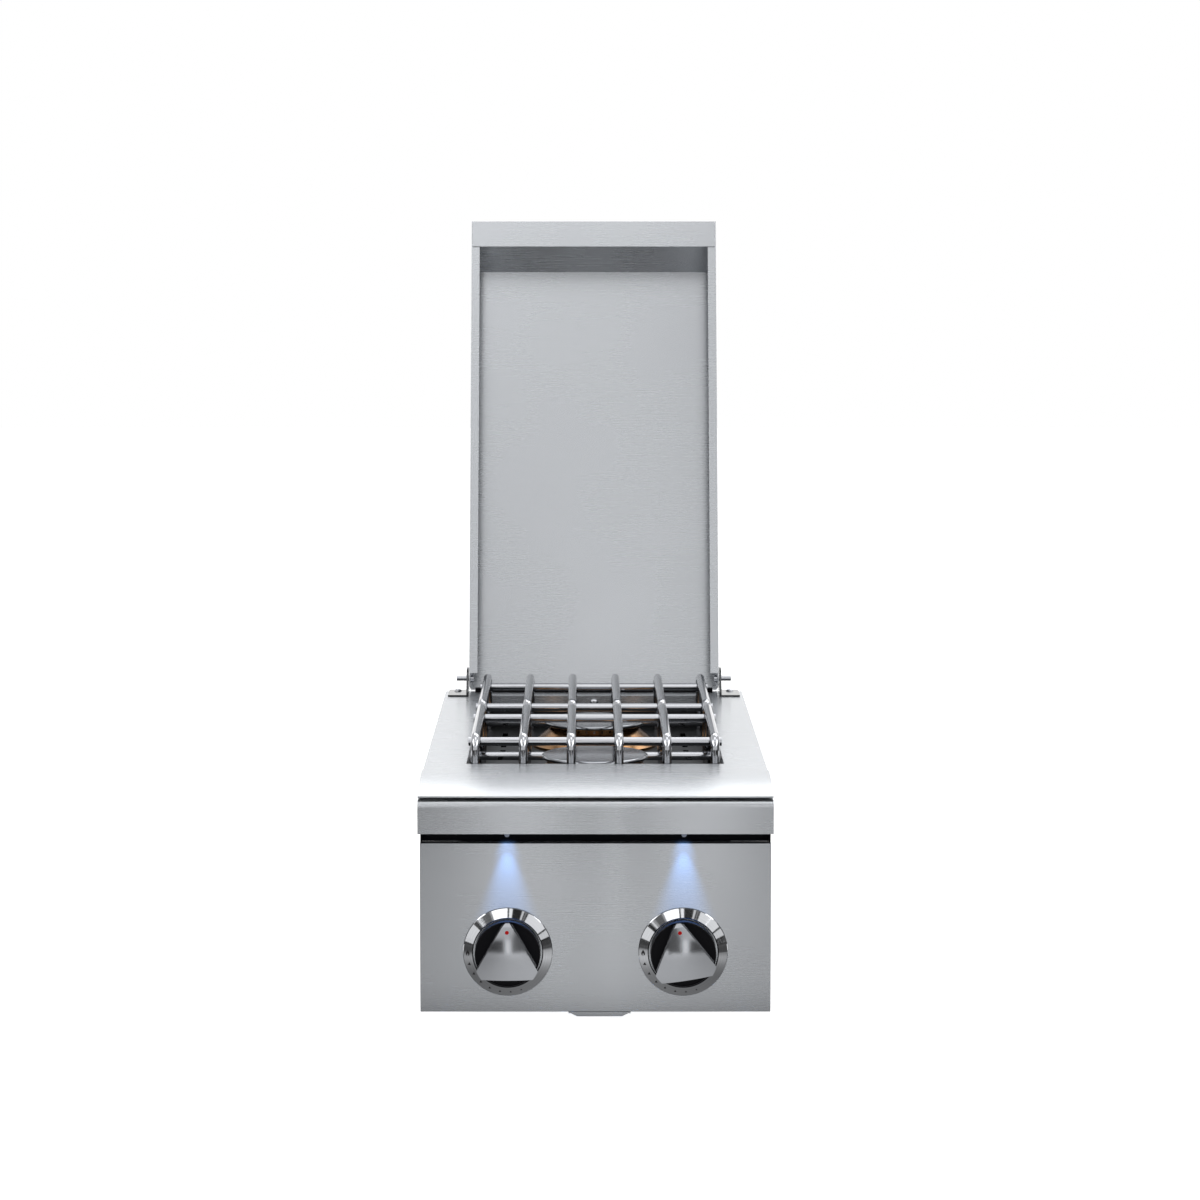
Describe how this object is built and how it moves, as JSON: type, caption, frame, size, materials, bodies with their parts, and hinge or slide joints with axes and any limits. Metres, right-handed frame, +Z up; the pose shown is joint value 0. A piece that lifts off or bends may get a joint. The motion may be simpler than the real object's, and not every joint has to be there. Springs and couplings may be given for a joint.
{
  "type": "double side burner",
  "caption": "Built-in stainless outdoor gas cooktop with burners one behind the other, rod grates, a hinged lid, front knobs and a slide-out drip tray.",
  "frame": {"origin": "centre of the whole part's footprint, lid open, at the height of the firebox's underside", "axes": "+X to the right as seen from the control panel, +Y to the back, +Z up"},
  "size_m": [0.345, 0.8026, 0.7885],
  "materials": {
    "brushed_stainless": "brushed, fine grain",
    "heat_dulled_steel": "dull, heat-darkened",
    "polished_rod": "drawn and polished",
    "polished_cap": "turned and polished",
    "bezel_chrome": "mirror polish",
    "satin_handle": "satin",
    "black_plastic": "moulded, matt",
    "black_bracket": "matt black",
    "burner_brass": "cast and machined",
    "valve_brass": "machined",
    "manifold_pipe": "black, satin",
    "lamp_lens": "clear, lit",
    "electrode_ceramic": "glazed ceramic"
  },
  "bodies": {
    "housing": {"firebox_left": "heat_dulled_steel", "firebox_right": "heat_dulled_steel", "firebox_front": "heat_dulled_steel", "firebox_rear": "heat_dulled_steel", "deck": "brushed_stainless", "front_apron": "brushed_stainless", "brow_rail": "brushed_stainless", "control_panel": "brushed_stainless", "control_box": "brushed_stainless", "heat_shield": "heat_dulled_steel", "lamp_rail": "black_bracket", "left_lamp": "lamp_lens", "right_lamp": "lamp_lens", "burner_pan": "heat_dulled_steel", "front_burner_base": "burner_brass", "rear_burner_base": "burner_brass", "front_mixer_tube": "brushed_stainless", "rear_mixer_tube": "brushed_stainless", "front_tie_rod": "polished_rod", "rear_tie_rod": "polished_rod", "front_igniter": "electrode_ceramic", "rear_igniter": "electrode_ceramic", "manifold": "manifold_pipe", "manifold_brackets": "brushed_stainless", "gas_inlet": "valve_brass", "left_valve": "valve_brass", "right_valve": "valve_brass", "left_bezel": "bezel_chrome", "right_bezel": "bezel_chrome", "left_hinge_bracket": "brushed_stainless", "right_hinge_bracket": "brushed_stainless", "rear_baffle": "black_bracket", "hinge_screws": "polished_rod", "wall_screws": "polished_rod", "left_tray_runner": "brushed_stainless", "right_tray_runner": "brushed_stainless", "ignition_module": "black_plastic", "lamp_driver": "black_plastic"},
    "lid": {"lid_shell": "brushed_stainless", "lid_front": "brushed_stainless", "left_pivot_bolt": "polished_rod", "right_pivot_bolt": "polished_rod"},
    "front_grate": {"front_grate": "polished_rod"},
    "rear_grate": {"rear_grate": "polished_rod"},
    "front_cap": {"front_burner_cap": "polished_cap"},
    "rear_cap": {"rear_burner_cap": "polished_cap"},
    "left_plug": {"left_valve_plug": "valve_brass"},
    "right_plug": {"right_valve_plug": "valve_brass"},
    "left_knob": {"left_knob_stem": "polished_rod", "left_knob_skirt": "black_plastic", "left_knob_handle": "satin_handle"},
    "right_knob": {"right_knob_stem": "polished_rod", "right_knob_skirt": "black_plastic", "right_knob_handle": "satin_handle"},
    "tray": {"drip_tray": "brushed_stainless"}
  },
  "joints": [
    {"name": "lid_hinge", "type": "hinge", "parent": "housing", "child": "lid", "pos_m": [0, 0.2367, 0.2645], "axis": [1, 0, 0], "range_deg": [0, 105]},
    {"name": "front_grate_lift", "type": "slide", "parent": "housing", "child": "front_grate", "axis": [0, 0, -1], "range_m": [-0.08, 0]},
    {"name": "rear_grate_lift", "type": "slide", "parent": "housing", "child": "rear_grate", "axis": [0, 0, -1], "range_m": [-0.08, 0]},
    {"name": "front_cap_lift", "type": "slide", "parent": "housing", "child": "front_cap", "axis": [0, 0, -1], "range_m": [-0.015, 0]},
    {"name": "rear_cap_lift", "type": "slide", "parent": "housing", "child": "rear_cap", "axis": [0, 0, -1], "range_m": [-0.015, 0]},
    {"name": "left_knob_turn", "type": "hinge", "parent": "housing", "child": "left_plug", "pos_m": [-0.0857, -0.3613, 0.0781], "axis": [0, -1, 0], "range_deg": [0, 200]},
    {"name": "left_knob_push", "type": "slide", "parent": "left_plug", "child": "left_knob", "axis": [0, 1, 0], "range_m": [0, 0.003], "stiffness_N_per_m": 3000},
    {"name": "right_knob_turn", "type": "hinge", "parent": "housing", "child": "right_plug", "pos_m": [0.0857, -0.3613, 0.0781], "axis": [0, -1, 0], "range_deg": [-9, 191]},
    {"name": "right_knob_push", "type": "slide", "parent": "right_plug", "child": "right_knob", "axis": [0, 1, 0], "range_m": [0, 0.003], "stiffness_N_per_m": 3000},
    {"name": "tray_slide", "type": "slide", "parent": "housing", "child": "tray", "axis": [0, -1, 0], "range_m": [0, 0.45]}
  ]
}
